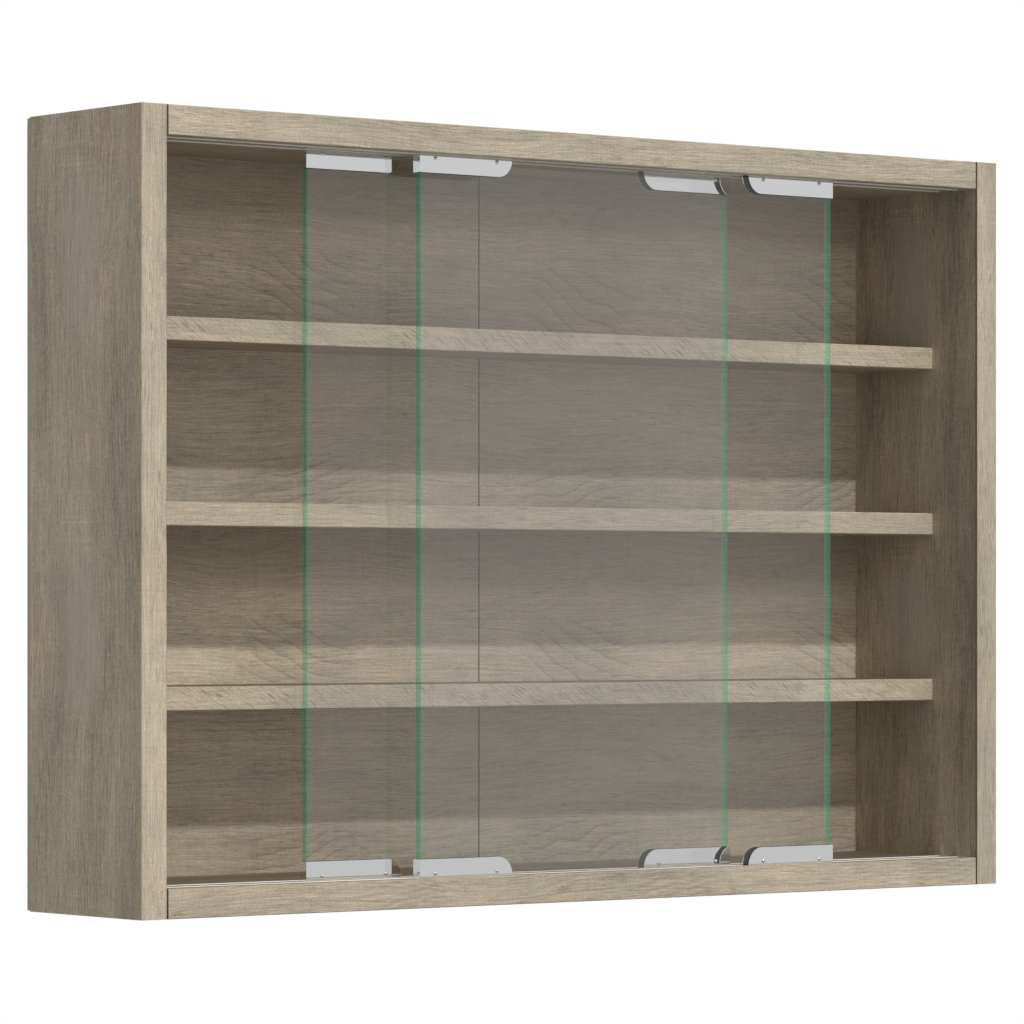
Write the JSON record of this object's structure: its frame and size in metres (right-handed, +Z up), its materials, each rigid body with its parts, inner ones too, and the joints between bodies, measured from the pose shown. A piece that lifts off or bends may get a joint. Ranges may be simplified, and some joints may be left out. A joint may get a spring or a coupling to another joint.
{
  "type": "wall display cabinet",
  "caption": "Shallow oak-decor wall cabinet with open-fronted shelves behind sliding frameless glass panes in bright corner shoes, hung by keyhole plates.",
  "frame": {"origin": "on the wall plane, midway between the entry holes of the two keyhole plates", "axes": "+X to the right as seen from the front, +Y into the wall, +Z up"},
  "size_m": [0.573, 0.1045, 0.4],
  "materials": {
    "oak_board": "satin oak decor",
    "oak_edge": "satin oak decor band",
    "oak_back": "satin oak decor on hardboard",
    "joint_tape": "matt tape",
    "rail": "smooth white",
    "dowel": "raw beech",
    "fitting": "bright zinc",
    "hanger": "zinc plated",
    "glass": "clear, ground edges",
    "shoe": "polished",
    "liner": "matt black",
    "glide": "natural nylon",
    "pip": "polished"
  },
  "bodies": {
    "cabinet": {"left_side_panel": "oak_board", "right_side_panel": "oak_board", "top_board": "oak_board", "bottom_board": "oak_board", "lower_shelf": "oak_board", "middle_shelf": "oak_board", "upper_shelf": "oak_board", "left_side_edge_band": "oak_edge", "right_side_edge_band": "oak_edge", "top_edge_band": "oak_edge", "bottom_edge_band": "oak_edge", "lower_shelf_edge_band": "oak_edge", "middle_shelf_edge_band": "oak_edge", "upper_shelf_edge_band": "oak_edge", "back_panel_left": "oak_back", "back_panel_right": "oak_back", "back_joint_tape": "joint_tape", "top_front_rail": "rail", "top_rear_rail": "rail", "bottom_front_rail": "rail", "bottom_rear_rail": "rail", "corner_dowels": "dowel", "shelf_dowels": "dowel", "cam_bolts": "fitting", "cam_locks": "fitting", "back_panel_nails": "fitting", "hanger_screws": "fitting", "left_hanger_plate": "hanger", "right_hanger_plate": "hanger"},
    "rear_door": {"rear_glass": "glass", "rear_bottom_left_shoe": "shoe", "rear_top_left_shoe": "shoe", "rear_bottom_right_shoe": "shoe", "rear_top_right_shoe": "shoe", "rear_bottom_left_liner": "liner", "rear_top_left_liner": "liner", "rear_bottom_right_liner": "liner", "rear_top_right_liner": "liner", "rear_bottom_left_glide": "glide", "rear_top_left_glide": "glide", "rear_bottom_right_glide": "glide", "rear_top_right_glide": "glide", "rear_shoe_pips": "pip"},
    "front_door": {"front_glass": "glass", "front_bottom_left_shoe": "shoe", "front_top_left_shoe": "shoe", "front_bottom_right_shoe": "shoe", "front_top_right_shoe": "shoe", "front_bottom_left_liner": "liner", "front_top_left_liner": "liner", "front_bottom_right_liner": "liner", "front_top_right_liner": "liner", "front_bottom_left_glide": "glide", "front_top_left_glide": "glide", "front_bottom_right_glide": "glide", "front_top_right_glide": "glide", "front_shoe_pips": "pip"}
  },
  "joints": [
    {"name": "rear_door_slide", "type": "slide", "parent": "cabinet", "child": "rear_door", "axis": [1, 0, 0], "range_m": [-0.10115, 0.15885]},
    {"name": "front_door_slide", "type": "slide", "parent": "cabinet", "child": "front_door", "axis": [1, 0, 0], "range_m": [-0.16205, 0.09795]}
  ]
}
